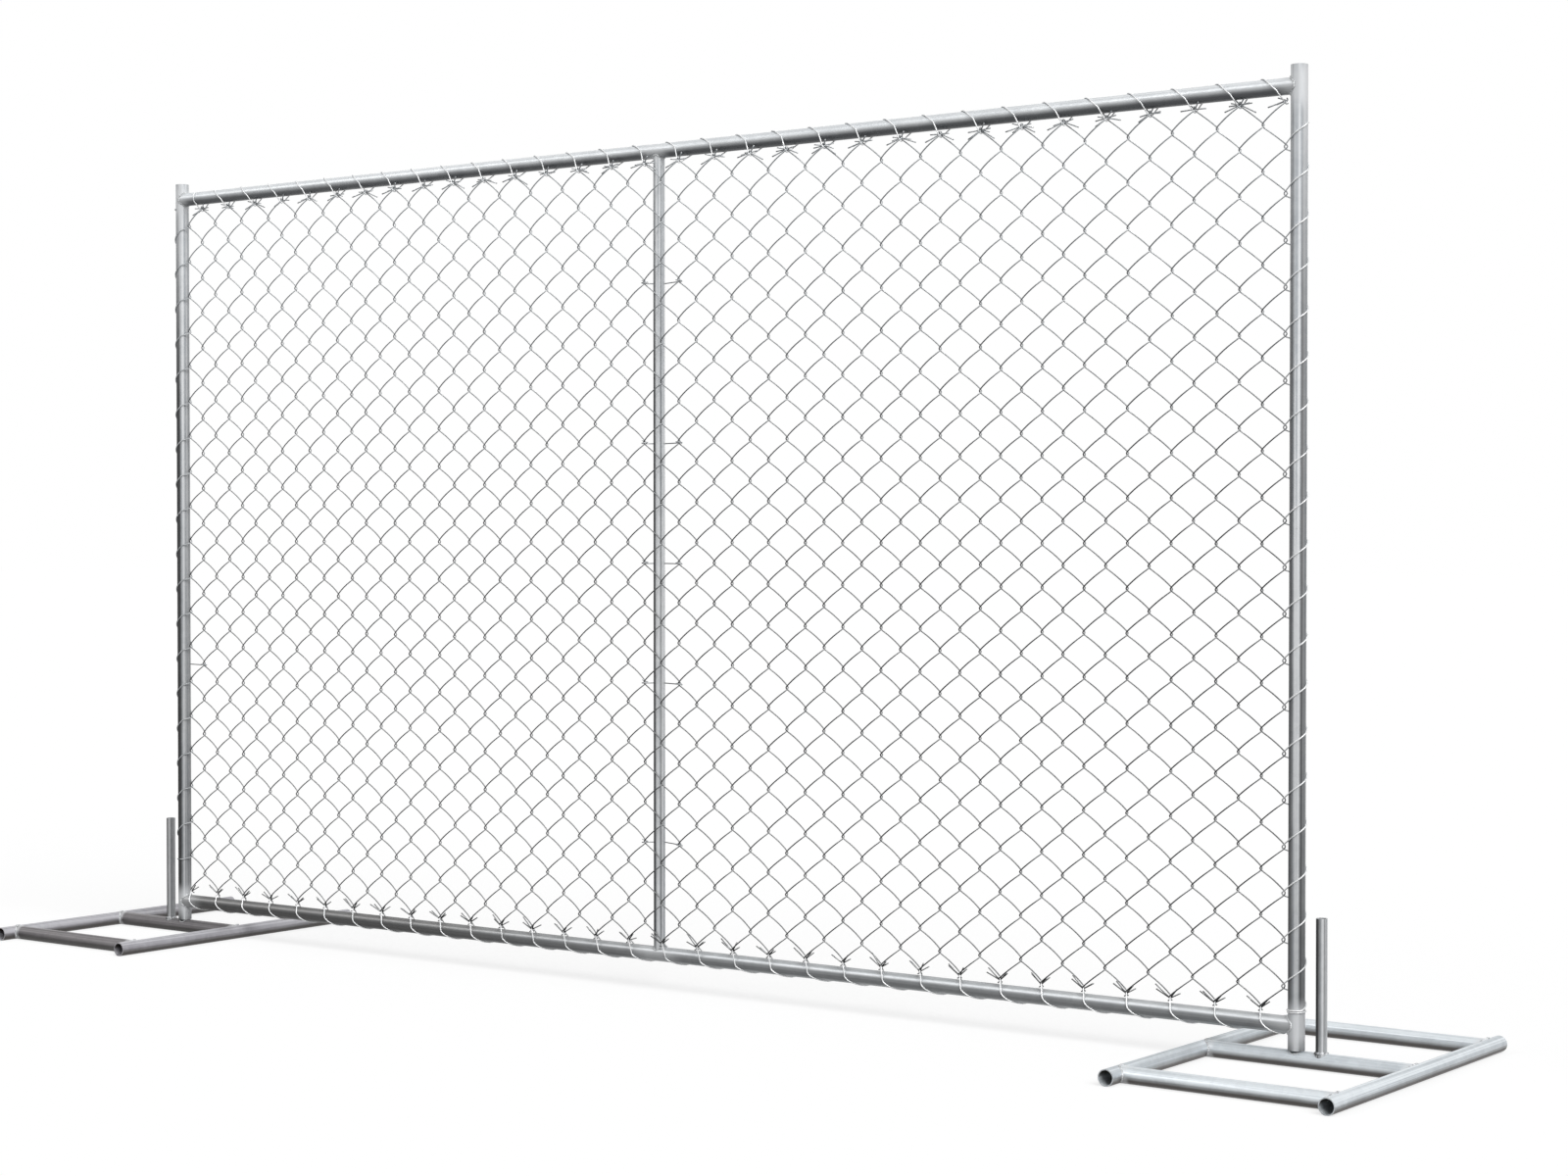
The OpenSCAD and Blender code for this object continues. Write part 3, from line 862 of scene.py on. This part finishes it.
@dataclass
class Lacing:
    """One wire wound round a tube of the frame that catches each bend of the fabric's edge."""

    edge: str
    # The first bend that it catches, on the tube's axis; along the tube; from the tube to the fabric
    start: Vector
    along: Vector
    inward: Vector
    pitch: float
    turns: int
    # Whether the wire comes to the front after each bend, or before it
    front_after: bool
    # From the tube's axis to the farthest point of the wire behind a bend
    nose_at: float
    # How far the wire runs along the tube on its front straight, round the tube's front, and on
    # its rear straight; the rest of the pitch is run round the back
    front_line: float = 5 * MM
    front_arc: float = 42 * MM
    rear_line: float = 8 * MM
    # Above 1, the wire runs along the tube less near the fabric than farther round
    front_ease: float = 1.0
    nose_run: float = 3 * MM
    nose_r: float = 3 * MM
    wire_r: float = 1.35 * MM
    clearance: float = 0.15 * MM
    # The wire starts in a close coil or is only tucked behind the tube, where it ends too, unless
    # its first or last bend is a corner of the fabric, where it is cut off
    first_coil: float = 0.0
    lead: float = 0.0
    lead_turn: float = math.radians(150)
    from_corner: bool = False
    to_corner: bool = False
    coil_pitch: float = 3.4 * MM
    coil_step: float = math.radians(18)
    tuck: float = math.radians(75)
    arc_points: int = 8
    nose_points: int = 5

    @property
    def round_r(self) -> float:
        """Radius of the wire's middle line round the tube."""
        return SIZES.tube_r + self.wire_r + self.clearance

    def loop(self, bulge: float) -> tuple[float, float, Vector]:
        """Fits a belt round the tube and the nose of one turn.

        Args:
            bulge: How far the fabric lies in front of the tube's axis at this bend.

        Returns:
            The angles at which the front and the rear straight touch, and the nose's centre.
        """
        centre = Vector((self.nose_at - self.nose_r, bulge))
        tilt = math.atan2(centre.y, centre.x)
        open_by = math.acos((self.round_r - self.nose_r) / centre.length)
        return tilt + open_by, tilt - open_by, centre

    def place(self, local: Vector) -> Vector:
        """Turns a point that is inward, forward and along in X, Y and Z into a place."""
        forward = Vector((0, -1, 0))
        return self.start + local.z * self.along + local.x * self.inward + local.y * forward

    def path(self) -> list[Vector]:
        """Follows the wire from its first end through every bend to its last end.

        Returns:
            The wire's middle line.
        """
        axis, tube = Vector((0, 0)), self.round_r
        back_arc = self.pitch - self.nose_run - self.front_line - self.front_arc - self.rear_line
        way = 1 if self.front_after else -1
        lines, arcs = [self.rear_line, self.front_line], [self.front_arc, back_arc]
        if not self.front_after:
            lines.reverse()
            arcs.reverse()
        path: list[Vector] = []
        for turn in range(self.turns):
            run = turn * self.pitch
            x = (self.start + run * self.along).x
            front, rear, nose = self.loop(-SIZES.fabric_y(x) if self.along.x else 0.0)
            come, go = (rear, front) if self.front_after else (front, rear)
            begin, end = run - self.nose_run / 2, run + self.nose_run / 2
            arrive, leave = begin - lines[0], end + lines[1]
            far, home = way * math.pi, come
            home += way * FULL_TURN if way * (home - far) < 0 else 0.0
            if turn == 0 and not self.from_corner:
                reach = self.first_coil * FULL_TURN or self.tuck
                wound = come - (way * self.lead_turn if self.lead else 0.0)
                led = arrive - self.lead
                runs = (led - reach / FULL_TURN * self.coil_pitch, led)
                points = 2 + round(reach / self.coil_step)
                path += winding(axis, tube, (wound - way * reach, wound), runs, points)
                path += winding(axis, tube, (wound, come), (led, arrive), self.arc_points)[1:]
            path += winding(nose, self.nose_r, (come, go), (begin, end), self.nose_points)
            last = turn == self.turns - 1
            if last and self.to_corner:
                break
            knee = leave + arcs[0]
            ease = self.front_ease if self.front_after else 1.0
            path += winding(axis, tube, (go, far), (leave, knee), self.arc_points, ease)
            angles = (far, far + way * self.tuck) if last else (far, home)
            runs = (knee, knee + (self.coil_pitch if last else arcs[1]))
            path += winding(axis, tube, angles, runs, self.arc_points)[1:]
        return [self.place(local) for local in path]

    def build(self, finish: Finish) -> None:
        """Winds the wire and hands it over in the given finish."""
        mesh = wire_mesh([self.path()], self.wire_r)
        hand_over(mesh, f"lacing_{self.edge}", "panel", "lacing_wire", f"{self.edge}_lacing", finish)


def lacings() -> list[Lacing]:
    """Sets out the four lacing wires of the panel."""
    across, up = Vector((1, 0, 0)), Vector((0, 0, 1))
    edge_nose = SIZES.fabric_foot_z - SIZES.bottom_rail_z + 6.5 * MM
    post_nose = SIZES.post_x - SIZES.fabric_half_w + 2.8 * MM
    wide, high = 2 * SIZES.column_pitch, 2 * SIZES.row_pitch
    columns, rows = (SIZES.wire_count + 1) // 2, SIZES.row_count // 2
    top = Vector((SIZES.column_x(1), 0, SIZES.top_rail_z))
    bottom = Vector((SIZES.column_x(0), 0, SIZES.bottom_rail_z))
    left = Vector((-SIZES.post_x, 0, SIZES.row_z(2)))
    right = Vector((SIZES.post_x, 0, SIZES.row_z(1)))
    return [
        Lacing(
            "top", top, across, -up, wide, columns, False, edge_nose,
            front_line=12 * MM, front_arc=38 * MM, to_corner=True,
        ),
        Lacing(
            "bottom", bottom, across, up, wide, columns, True, edge_nose,
            front_ease=1.5, from_corner=True,
        ),
        Lacing(
            "left", left, up, across, high, rows, False, post_nose,
            front_line=6 * MM, front_arc=36 * MM,
        ),
        Lacing(
            "right", right, up, -across, high, rows, True, post_nose + 1.2 * MM,
            front_line=13 * MM, front_arc=26 * MM, nose_run=7 * MM, nose_r=3.8 * MM,
            first_coil=1.3, lead=28 * MM,
        ),
    ]


@dataclass
class Ties:
    """Short wires that hold the fabric to the centre brace, and one to the left post."""

    brace_rows: tuple[int, ...] = (5, 13, 19, 25, 33)
    post_row: int = 13
    wire_r: float = 1.2 * MM
    clearance: float = 0.15 * MM
    # Each end is hooked round a bend of the fabric, with a cut tail
    eye_r: float = 6.4 * MM
    eye_turn: float = math.radians(330)
    eye_rise: float = 3.2 * MM
    tail: Point = (6.8 * MM, -4.1 * MM, -4.5 * MM)
    # How far the tie at the post reaches round the back of it
    wrap: float = math.radians(60)
    step: float = math.radians(18)

    def tangent(self, begin: Vector, begin_r: float, end: Vector, end_r: float) -> float:
        """Finds the angle, from +X towards the rear, at which a straight wire touches two circles."""
        way = end - begin
        return math.atan2(way.y, way.x) + math.acos((begin_r - end_r) / way.length)

    def follow(self, z: float, arcs: Iterable[PlanArc]) -> list[Vector]:
        """Follows arcs in plan, one after the other.

        Args:
            z: Height of the tie.
            arcs: The arcs, whose own heights start from there.

        Returns:
            Points of the tie's middle line.
        """
        line: list[Vector] = []
        for centre, r, begin, end, low, high in arcs:
            points = 1 + max(2, round(abs(begin - end) / self.step))
            line += winding(centre, r, (begin, end), (z + low, z + high), points)
        return line

    def bend(self, column: int) -> Vector:
        """Returns the place of a column of bends in plan."""
        x = SIZES.column_x(column)
        return Vector((x, SIZES.fabric_y(x)))

    def brace_path(self, row: int) -> list[Vector]:
        """Follows a tie from its left eye behind the brace to its right eye.

        Args:
            row: The row of bends that it holds.

        Returns:
            The tie's middle line.
        """
        left, right = (self.bend(SIZES.fold_column + way) for way in (-1, 1))
        brace, round_r = Vector((0, 0)), SIZES.brace_r + self.wire_r + self.clearance
        come = self.tangent(left, self.eye_r, brace, round_r)
        go = self.tangent(brace, round_r, right, self.eye_r)
        arcs = (
            (left, self.eye_r, come + self.eye_turn, come, self.eye_rise, 0.0),
            (brace, round_r, come, go, 0.0, 0.0),
            (right, self.eye_r, go, go - self.eye_turn, 0.0, self.eye_rise),
        )
        line = self.follow(SIZES.row_z(row), arcs)
        tail = Vector(self.tail)
        return [line[0] + Vector((-tail.x, tail.y, -tail.z)), *line, line[-1] + tail]

    def post_path(self) -> list[Vector]:
        """Follows the tie from behind the left post to its eye on the fabric."""
        eye = self.bend(1)
        post, round_r = Vector((-SIZES.post_x, 0)), SIZES.tube_r + self.wire_r + self.clearance
        go = self.tangent(post, round_r, eye, self.eye_r)
        arcs = (
            (post, round_r, go + self.wrap, go, 0.0, 0.0),
            (eye, self.eye_r, go, go - self.eye_turn, 0.0, self.eye_rise),
        )
        line = self.follow(SIZES.row_z(self.post_row), arcs)
        return [*line, line[-1] + Vector(self.tail)]

    def build(self, finish: Finish) -> None:
        """Bends the ties and hands them over in the given finish."""
        mesh = wire_mesh([*map(self.brace_path, self.brace_rows), self.post_path()], self.wire_r)
        hand_over(mesh, "tie_wires", "panel", "lacing_wire", "brace_ties", finish)


# Welds


@dataclass
class SaddleBead:
    """Weld bead round the end of a tube on another tube, laid in overlapping ripples."""

    main_r: float
    ring_r: float
    bead_r: float = 2.3 * MM
    # Angle at which a bead that isn't a full ring leaves its gap, and half that gap
    gap_at: float = 0.0
    gap_half: float = 0.0
    ripple: float = 4.2 * MM
    ripple_height: float = 0.16
    # No bead is quite even: share of its thickness, and over what length it changes
    wobble: float = 0.22
    wobble_over: float = 7 * MM
    # Lowest seat on a tube that is no wider than the bead's ring, as a share of that tube's radius
    least_seat: float = 0.22
    sides: int = 8
    steps: int = 96

    def add(self, bm: BMesh, frame_of: Matrix) -> None:
        """Adds the bead to a bmesh.

        Args:
            bm: The bmesh that gets it.
            frame_of: Its place: local X leaves along the branch tube, local Z along the main tube.
        """
        ring = bmesh.ops.create_circle(bm, segments=self.sides, radius=self.bead_r)["verts"]
        edges = edges_at(ring)
        bmesh.ops.translate(bm, verts=ring, vec=(0, self.ring_r, 0))
        turned(bm, ring, self.gap_at + self.gap_half, "X")
        before = set(bm.verts) - set(ring)
        bmesh.ops.spin(
            bm,
            geom=ring + edges,
            cent=ORIGIN,
            axis=(1, 0, 0),
            angle=FULL_TURN - 2 * self.gap_half,
            steps=self.steps,
            use_merge=self.gap_half == 0,
        )
        made = [v for v in bm.verts if v not in before]
        ripples = round(FULL_TURN * self.ring_r / self.ripple)
        least = (self.least_seat * self.main_r) ** 2
        for vert in made:
            angle = math.atan2(vert.co.z, vert.co.y)
            core = Vector((0, math.cos(angle), math.sin(angle))) * self.ring_r
            uneven = self.wobble * noise.noise(frame_of @ core / self.wobble_over)
            swell = 1 + self.ripple_height * math.sin(ripples * angle) + uneven
            height = math.sqrt(max(self.main_r**2 - core.y**2, least))
            vert.co = core + (vert.co - core) * swell + Vector((height, 0, 0))
        bmesh.ops.transform(bm, matrix=frame_of, verts=made)


def seat(origin: Point, branch: Point, main: Point) -> Matrix:
    """Finds the place of a bead.

    Args:
        origin: Where the two tubes' axes cross.
        branch: Direction of the tube that ends there.
        main: Direction of the tube that it ends on.

    Returns:
        The matrix that puts the bead there.
    """
    x, z = Vector(branch), Vector(main)
    return Matrix.Translation(origin) @ Matrix((x, z.cross(x), z)).transposed().to_4x4()


@dataclass
class FrameWelds:
    """Beads of the rails on the posts, and of the brace on the rails."""

    lift: float = 0.4 * MM
    brace_bead_r: float = 2 * MM

    def build(self, finish: Finish) -> None:
        """Lays the beads and hands them over in the given finish."""
        bead = SaddleBead(SIZES.tube_r, SIZES.tube_r + self.lift)
        for side, sign in SIDES:
            bm = bmesh.new()
            for z in SIZES.rails_z:
                bead.add(bm, seat((sign * SIZES.post_x, 0, z), (-sign, 0, 0), (0, 0, 1)))
            names = f"{side}_post_beads", "panel", "weld", f"{side}_post_welds"
            hand_over(closed_mesh(bm), *names, finish)
        bm = bmesh.new()
        thin = SaddleBead(SIZES.tube_r, SIZES.brace_r + self.lift, self.brace_bead_r)
        for z, way in zip(SIZES.rails_z, (1, -1)):
            thin.add(bm, seat((0, 0, z), (0, 0, way), (1, 0, 0)))
        hand_over(closed_mesh(bm), "brace_beads", "panel", "weld", "brace_welds", finish)


@dataclass
class StandWelds:
    """Beads of one stand: its bars on the runners, and its pegs on the middle bar."""

    side: str
    sign: int
    lift: float = 0.4 * MM
    # The ground leaves no room for a bead under the bars
    gap_half: float = math.radians(52)
    steps: int = 72
    # The panel's peg stands inside a post and has a slim bead, the spare peg a full one: each bead's
    # distance from the peg, and its radius
    held_bead: Span = (1.6 * MM, 1.5 * MM)
    free_bead: Span = (0.8 * MM, 2.4 * MM)

    def build(self, finish: Finish) -> None:
        """Lays the beads and hands them over in the given finish."""
        bm = bmesh.new()
        r = SIZES.tube_r
        gap = {"gap_half": self.gap_half, "steps": self.steps}
        for end in (-1, 1):
            bead = SaddleBead(r, r + self.lift, gap_at=0.0 if end < 0 else math.pi, **gap)
            x = self.sign * STAND.middle_x + end * STAND.half_width
            for y in STAND.bar_y:
                bead.add(bm, seat((x, y, r), (-end, 0, 0), (0, 1, 0)))
        for (off, bead_r), out in ((self.held_bead, 0.0), (self.free_bead, STAND.peg_gap)):
            bead = SaddleBead(r, STAND.peg_r + off, bead_r, steps=self.steps)
            x = self.sign * (SIZES.post_x + out)
            bead.add(bm, seat((x, 0, r), (0, 0, 1), (1, 0, 0)))
        stand = f"{self.side}_stand"
        hand_over(closed_mesh(bm), f"{stand}_beads", stand, "weld", f"{stand}_welds", finish)


# Tubes


class Tubes:
    """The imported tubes, which keep their solids and get their finishes."""

    # Posts and brace are the palest tubes, sprayed where the rails meet them
    UPRIGHT = {"axis": Axis.Z, "fresh": "#F0F2F4", "dull": "#B4B9BE", "spray_at": SIZES.rails_z}
    # Painted reflections: bands from the left front of an upright tube round to its right, as place and tone
    LEFT = {
        "across": (0.66, 0.75, 0.0),
        "bands": (
            (0.0, 0.08), (0.15, 0.08), (0.22, 0.15), (0.34, 0.74),
            (0.46, 0.95), (0.56, 0.65), (0.72, 0.66), (1.0, 0.48),
        ),
    }
    MIDDLE = {
        "across": (0.78, 0.63, 0.0),
        "bands": (
            (0.0, 0.12), (0.12, 0.15), (0.24, 0.8), (0.5, 1.0), (0.62, 0.32), (0.72, 0.85), (1.0, 0.9),
        ),
        "ground_tone": 0.85,
    }
    RIGHT = {
        "across": (0.9, 0.44, 0.0),
        "bands": (
            (0.0, 0.34), (0.14, 0.31), (0.31, 1.0), (0.58, 0.98),
            (0.68, 0.25), (0.75, 0.22), (0.86, 0.45), (1.0, 0.5),
        ),
    }
    # Rails are a little more matt, with fainter streaks
    RAIL = {
        "axis": Axis.X,
        "fresh": "#E6E9EB",
        "dull": "#B6BABE",
        "streak_share": 0.5,
        "roughness": 0.4,
        "spray_at": (-SIZES.post_x, 0.0, SIZES.post_x),
    }
    # The bottom rail has painted reflections, bands from its top to its underside, and is darker at its left
    BOTTOM = {
        "across": (0.0, -0.18, -0.984),
        "bands": (
            (0.0, 0.6), (0.2, 0.72), (0.29, 1.0), (0.36, 0.9),
            (0.46, 0.48), (0.58, 0.33), (0.82, 0.33), (1.0, 0.75),
        ),
        "ground_tone": 1.0,
        "leftward_darkening_span": (0.3, -0.9),
        "aged_share": 0.85,
        "spray_reach": 60 * MM,
        "spray_share": 0.4,
    }
    # The stands lie on the ground: pale and matt above, with painted shade below; the left one is darker
    GROUND = {"roughness": 0.42, "specks": 0.6, "shade": "#524E4B", "streak_share": 0.8}
    STAND_ZINC = {
        "left": {"fresh": "#DEDEE4", "dull": "#A9A8AF"},
        "right": {"fresh": "#E2E8EC", "dull": "#B2B8BD"},
    }
    # Pegs are scuffed by the posts that drop over them
    PEG = {"axis": Axis.Z, "fresh": "#E6E8EA", "dull": "#A4A8AC", "streak_width": 4 * MM, "specks": 0.6}

    def tube(self, name: str, *traits: dict[str, Any], **own: Any) -> GalvanisedTube:
        """Makes a tube's finish from traits that it shares and values of its own."""
        for trait in traits:
            own.update(trait)
        return GalvanisedTube(f"galvanised_{name}_tube", **own)

    def panel(self) -> dict[str, Finish]:
        """Chooses the finishes of the panel's tubes, by node."""
        return {
            "top_rail": self.tube("top_rail", self.RAIL, spray_reach=34 * MM),
            "bottom_rail": self.tube("bottom_rail", self.RAIL, self.BOTTOM),
            "centre_brace": self.tube("brace", self.UPRIGHT, self.MIDDLE, spray_reach=36 * MM),
            "left_post": self.tube("left_post", self.UPRIGHT, self.LEFT, spray_share=0.75),
            "right_post": self.tube("right_post", self.UPRIGHT, self.RIGHT, spray_share=0.75),
        }

    def stand(self, side: str) -> dict[str, Finish]:
        """Chooses the finishes of one stand's tubes.

        Args:
            side: left or right.

        Returns:
            The finishes by node.
        """
        dull_shaded = {**self.GROUND, **self.STAND_ZINC[side]}
        # The ends of the bars are sprayed with zinc
        reach = STAND.half_width - SIZES.tube_r
        ends = tuple(sign * STAND.middle_x + end * reach for _, sign in SIDES for end in (-1, 1))
        spray = {"spray_at": ends, "spray_reach": 9 * MM}
        runner = self.tube(f"{side}_runner", dull_shaded, axis=Axis.Y, aged_share=0.35)
        bar = self.tube(f"{side}_bar", dull_shaded, spray, axis=Axis.X, aged_share=0.95)
        # Pegs get the brace's painted reflection bands
        peg = self.tube("peg", self.PEG, self.MIDDLE, aged_share=0.3)
        kinds = {
            runner: ("inner_runner", "outer_runner"),
            bar: ("front_bar", "middle_bar", "rear_bar"),
            peg: ("panel_peg", "spare_peg"),
        }
        return {f"{side}_{name}": finish for finish, names in kinds.items() for name in names}

    def build(self) -> None:
        """Dresses every packed tube in its finish."""
        for node, finish in {**self.panel(), **self.stand("left"), **self.stand("right")}.items():
            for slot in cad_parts[node].material_slots:
                slot.material = finish.material()
            LOG.info("%s: packed tube in %s", node, finish.name)


# Studio


def seen_directly(add: Add) -> Socket:
    """Returns 1 for rays from the camera, from a shiny surface or through glass, and 0 for others."""
    rays = ("Is Camera Ray", "Is Glossy Ray", "Is Transmission Ray")
    camera, gloss, glass = (add("LightPath", output=ray) for ray in rays)
    return add("Math", {0: add("Math", {0: camera, 1: gloss}, LARGER), 1: glass}, LARGER)


@dataclass(frozen=True)
class PaleFloor(Finish):
    """Matt white floor, which looks as white as the background but keeps the object's shadow."""

    name: str = "matt_white_floor"
    # A mid grey under the lamps, and the light that it gives to the eye to look white
    colour: str = "#969696"
    glow: float = 0.725

    def surface(self, add: Add) -> Socket:
        """Builds the floor's shader and returns its output."""
        paint = add("BsdfDiffuse", {"Color": self.colour})
        strength = add("Math", {0: seen_directly(add), 1: self.glow}, {"operation": "MULTIPLY"})
        return add("AddShader", {0: paint, 1: add("Emission", {"Color": WHITE, "Strength": strength})})


@dataclass
class Studio:
    """Pale floor, soft light, white background and the camera."""

    floor_half: float = 60.0
    # Focal length that was fitted for an image 1600 pixels wide, and the camera's place and turn
    image_width: int = 1600
    focal_pixels: float = 2907.2
    camera_at: Point = (3.90336, -4.81708, 0.99127)
    yaw: float = 0.63725
    pitch: float = 0.01864
    sensor: float = 36.0
    # Soft key from the upper right, a lower gloss light from the left front, and an even fill
    lamps: tuple[tuple[str, Point, float, float], ...] = (
        ("key", (0.66, -0.3, 0.7), 2.6, math.radians(40)),
        ("gloss", (-0.55, -0.6, 0.58), 0.4, math.radians(26)),
    )
    fill: float = 0.26

    def build(self) -> None:
        """Sets up floor, lights, world and camera."""
        scene = bpy.context.scene
        scene.view_settings.view_transform = "Standard"
        bm = bmesh.new()
        bmesh.ops.create_grid(bm, x_segments=1, y_segments=1, size=self.floor_half)
        mesh = as_mesh(bm, "floor")
        mesh.materials.append(PaleFloor().material())
        floor = placed("floor", mesh)

        for name, origin, strength, angle in self.lamps:
            lamp = bpy.data.lights.new(name, "SUN")
            lamp.energy, lamp.angle = strength, angle
            light = placed(name, lamp)
            light.rotation_euler = Vector(origin).to_track_quat("Z", "Y").to_euler()

        world = bpy.data.worlds.new("studio")
        world.use_nodes = True
        world.node_tree.nodes.clear()
        add = partial(add_node, world.node_tree)
        fill = add("Background", {"Color": WHITE, "Strength": self.fill})
        white = add("Background", {"Color": WHITE, "Strength": 1.0})
        mixed = add("MixShader", {0: seen_directly(add), 1: fill, 2: white})
        add("OutputWorld", {"Surface": mixed})
        scene.world = world

        lens = bpy.data.cameras.new("camera")
        lens.sensor_width = self.sensor
        lens.lens = self.focal_pixels * self.sensor / self.image_width
        lens.clip_end = 4 * self.floor_half
        camera = placed("camera", lens)
        camera.location = self.camera_at
        camera.rotation_euler = (math.pi / 2 - self.pitch, 0, self.yaw)
        scene.camera = camera


def write_sizes() -> None:
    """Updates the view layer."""
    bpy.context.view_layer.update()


def main() -> None:
    """Builds the studio, dresses the tubes and makes the wires and beads."""
    logging.basicConfig(level=logging.INFO, format="%(name)s: %(message)s")
    noise.seed_set(NOISE_SEED)
    Studio().build()
    Tubes().build()
    # The fabric wire has near-black painted shade and is darker towards the bottom
    Fabric().build(GalvanisedWire("galvanised_fabric_wire", low_tone="#B9B8B7"))
    # Lacing and ties are bright, with pale painted shade
    bright = GalvanisedWire(
        "bright_galvanised_tie_wire",
        bright="#FAFAFB",
        dull="#E2E4E5",
        shade="#8F9295",
        high_shade="#A4A7AA",
        lit_span=(-0.6, 0.1),
        roughness=0.3,
    )
    # The left lacing is duller, with dark painted shade on its left side, and hardly stands out from its
    # post
    dull_shaded = GalvanisedWire(
        "dull_galvanised_tie_wire",
        bright="#D8DBDD",
        dull="#B4B8BB",
        shade="#45484B",
        lit_side=(0.97, 0.1, 0.22),
        lit_span=(-0.2, 0.35),
    )
    for lacing in lacings():
        lacing.build(dull_shaded if lacing.edge == "left" else bright)
    Ties().build(dull_shaded)
    bead = SprayedWeld("zinc_sprayed_weld_bead")
    FrameWelds().build(bead)
    for side, sign in SIDES:
        StandWelds(side, sign).build(bead)
    write_sizes()


if __name__ == "__main__":
    main()
